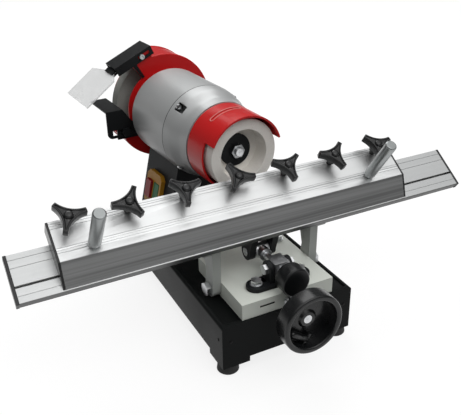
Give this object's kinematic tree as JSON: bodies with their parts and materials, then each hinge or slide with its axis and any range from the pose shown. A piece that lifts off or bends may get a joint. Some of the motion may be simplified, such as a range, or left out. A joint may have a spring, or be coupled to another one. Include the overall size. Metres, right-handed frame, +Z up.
{
  "type": "planer knife grinder",
  "caption": "Bench grinder for long planer knives: canted motor head with cup wheel and straight wheel, cross slide, tilting rail and sliding knife holder with clamp knobs.",
  "frame": {"origin": "on the bench under the middle of the base, at the height of the feet's underside", "axes": "+Z up, +X along the rail to the right, +Y from the handwheel to the back"},
  "size_m": [0.657, 0.4986, 0.3498],
  "materials": {
    "base_paint": "semi-gloss",
    "foot_rubber": "matte",
    "zinc": "satin",
    "way_iron": "machined",
    "bronze": "satin",
    "pedestal_paint": "satin",
    "amber_plastic": "gloss",
    "silver_paint": "satin",
    "core_steel": "matte",
    "copper": "satin",
    "case_blue": "matte",
    "red_paint": "gloss",
    "black_steel": "satin",
    "green_plastic": "gloss",
    "red_plastic": "gloss",
    "clear_sheet": "gloss",
    "shaft_steel": "ground",
    "white_abrasive": "matte",
    "grey_abrasive": "matte",
    "slide_grey": "satin",
    "black_plastic": "satin",
    "bare_aluminium": "brushed",
    "arm_grey": "satin"
  },
  "bodies": {
    "frame": {"base_shell": "base_paint", "rubber_feet": "foot_rubber", "base_screws": "zinc", "slide_way": "way_iron", "feed_nut": "bronze", "pedestal": "pedestal_paint", "switch_frame": "amber_plastic", "motor_bell": "silver_paint", "motor_drum": "silver_paint", "head_screws": "zinc", "stator_core": "core_steel", "stator_windings": "copper", "spindle_bearings": "shaft_steel", "run_capacitor": "case_blue", "cup_hood": "red_paint", "rear_guard": "red_paint", "guard_cover": "red_paint", "shield_bracket": "black_steel", "rest_bracket": "black_steel", "rest_bolt": "black_steel"},
    "start_button": {"start_button": "green_plastic"},
    "stop_button": {"stop_button": "red_plastic"},
    "shield": {"shield_clip": "black_steel", "eye_shield": "clear_sheet"},
    "tool_rest": {"tool_rest": "black_steel"},
    "spindle": {"motor_shaft": "shaft_steel", "rotor_core": "core_steel", "cup_wheel": "white_abrasive", "wheel_flanges": "black_steel", "spindle_nuts": "zinc", "rear_wheel": "grey_abrasive"},
    "slide": {"cross_slide": "slide_grey", "slide_strip": "slide_grey", "slide_bolts": "zinc", "swivel_bracket": "black_steel", "pivot_bolts": "zinc"},
    "handwheel": {"feed_screw": "shaft_steel", "handwheel": "black_plastic"},
    "fold_handle": {"fold_handle": "black_plastic"},
    "tilt": {"lower_rail": "bare_aluminium", "rail_caps": "black_plastic", "tilt_arms": "arm_grey", "arm_screws": "zinc", "rail_clevis": "black_steel", "trunnion_pin": "shaft_steel"},
    "swivel": {"swivel_block": "zinc"},
    "rod_end": {"trunnion_block": "zinc"},
    "adjuster": {"adjust_rod": "zinc", "angle_knob": "black_plastic"},
    "holder": {"knife_holder": "bare_aluminium", "holder_caps": "black_plastic", "push_pins": "zinc"},
    "clamp": {"clamp_bar": "shaft_steel"},
    "knob_1": {"clamp_knob_1": "black_plastic"},
    "knob_2": {"clamp_knob_2": "black_plastic"},
    "knob_3": {"clamp_knob_3": "black_plastic"},
    "knob_4": {"clamp_knob_4": "black_plastic"},
    "knob_5": {"clamp_knob_5": "black_plastic"},
    "knob_6": {"clamp_knob_6": "black_plastic"},
    "knob_7": {"clamp_knob_7": "black_plastic"}
  },
  "joints": [
    {"name": "spindle_spin", "type": "hinge", "parent": "frame", "child": "spindle", "pos_m": [0, -0.066, 0.249], "axis": [-0.0698, 0.9976, 0], "continuous": true},
    {"name": "cross_feed", "type": "slide", "parent": "frame", "child": "slide", "axis": [0, 1, 0], "range_m": [-0.025, 0.001]},
    {"name": "handwheel_turn", "type": "hinge", "parent": "slide", "child": "handwheel", "pos_m": [0, -0.23, 0.0885], "axis": [0, 1, 0], "range_deg": [-4505, 185]},
    {"name": "handle_fold", "type": "hinge", "parent": "handwheel", "child": "fold_handle", "pos_m": [-0.00376, -0.2368, 0.06176], "axis": [0.5592, 0, 0.829], "range_deg": [0, 90]},
    {"name": "rail_tilt", "type": "hinge", "parent": "slide", "child": "tilt", "pos_m": [0, -0.116, 0.0912], "axis": [1, 0, 0], "range_deg": [0, 15]},
    {"name": "swivel_turn", "type": "hinge", "parent": "slide", "child": "swivel", "pos_m": [0, -0.158, 0.1255], "axis": [1, 0, 0], "range_deg": [-0.05, 1.85]},
    {"name": "rod_travel", "type": "slide", "parent": "swivel", "child": "rod_end", "axis": [0, 1, 0], "range_m": [-0.0093, 0.0002]},
    {"name": "adjuster_turn", "type": "hinge", "parent": "rod_end", "child": "adjuster", "pos_m": [0, -0.158, 0.1255], "axis": [0, 1, 0], "range_deg": [-2205, 5]},
    {"name": "holder_travel", "type": "slide", "parent": "tilt", "child": "holder", "axis": [1, 0, 0], "range_m": [-0.2, 0.24]},
    {"name": "clamp_travel", "type": "slide", "parent": "holder", "child": "clamp", "axis": [0, -0.5664, 0.8241], "range_m": [-0.0021, 0.0011]},
    {"name": "knob_1_turn", "type": "hinge", "parent": "clamp", "child": "knob_1", "pos_m": [-0.2494, -0.09463, 0.22747], "axis": [0, -0.5664, 0.8241], "range_deg": [-610, 320]},
    {"name": "knob_2_turn", "type": "hinge", "parent": "clamp", "child": "knob_2", "pos_m": [-0.1751, -0.09463, 0.22747], "axis": [0, -0.5664, 0.8241], "range_deg": [-610, 320]},
    {"name": "knob_3_turn", "type": "hinge", "parent": "clamp", "child": "knob_3", "pos_m": [-0.1008, -0.09463, 0.22747], "axis": [0, -0.5664, 0.8241], "range_deg": [-610, 320]},
    {"name": "knob_4_turn", "type": "hinge", "parent": "clamp", "child": "knob_4", "pos_m": [-0.0265, -0.09463, 0.22747], "axis": [0, -0.5664, 0.8241], "range_deg": [-610, 320]},
    {"name": "knob_5_turn", "type": "hinge", "parent": "clamp", "child": "knob_5", "pos_m": [0.0478, -0.09463, 0.22747], "axis": [0, -0.5664, 0.8241], "range_deg": [-610, 320]},
    {"name": "knob_6_turn", "type": "hinge", "parent": "clamp", "child": "knob_6", "pos_m": [0.1221, -0.09463, 0.22747], "axis": [0, -0.5664, 0.8241], "range_deg": [-610, 320]},
    {"name": "knob_7_turn", "type": "hinge", "parent": "clamp", "child": "knob_7", "pos_m": [0.1964, -0.09463, 0.22747], "axis": [0, -0.5664, 0.8241], "range_deg": [-610, 320]},
    {"name": "start_press", "type": "slide", "parent": "frame", "child": "start_button", "axis": [0.9695, 0.0678, -0.2354], "range_m": [0, 0.003], "stiffness_N_per_m": 400, "springref_m": -0.002},
    {"name": "stop_press", "type": "slide", "parent": "frame", "child": "stop_button", "axis": [0.9695, 0.0678, -0.2354], "range_m": [0, 0.003], "stiffness_N_per_m": 400, "springref_m": -0.002},
    {"name": "shield_swing", "type": "hinge", "parent": "frame", "child": "shield", "pos_m": [-0.08837, 0.18846, 0.31913], "axis": [-0.0698, 0.9976, 0], "range_deg": [-8, 15]},
    {"name": "rest_travel", "type": "slide", "parent": "frame", "child": "tool_rest", "axis": [0.9976, 0.0698, 0], "range_m": [-0.0055, 0.002]}
  ],
  "couplings": [
    {"joint": "handwheel_turn", "follows": "cross_feed", "rad_per_m": 3141.6},
    {"joint": "swivel_turn", "follows": "rail_tilt", "ratio": 0.12},
    {"joint": "rod_travel", "follows": "rail_tilt", "m_per_rad": -0.035},
    {"joint": "adjuster_turn", "follows": "rail_tilt", "ratio": -146.6},
    {"joint": "knob_1_turn", "follows": "clamp_travel", "rad_per_m": 5026.5},
    {"joint": "knob_2_turn", "follows": "clamp_travel", "rad_per_m": 5026.5},
    {"joint": "knob_3_turn", "follows": "clamp_travel", "rad_per_m": 5026.5},
    {"joint": "knob_4_turn", "follows": "clamp_travel", "rad_per_m": 5026.5},
    {"joint": "knob_5_turn", "follows": "clamp_travel", "rad_per_m": 5026.5},
    {"joint": "knob_6_turn", "follows": "clamp_travel", "rad_per_m": 5026.5},
    {"joint": "knob_7_turn", "follows": "clamp_travel", "rad_per_m": 5026.5}
  ]
}
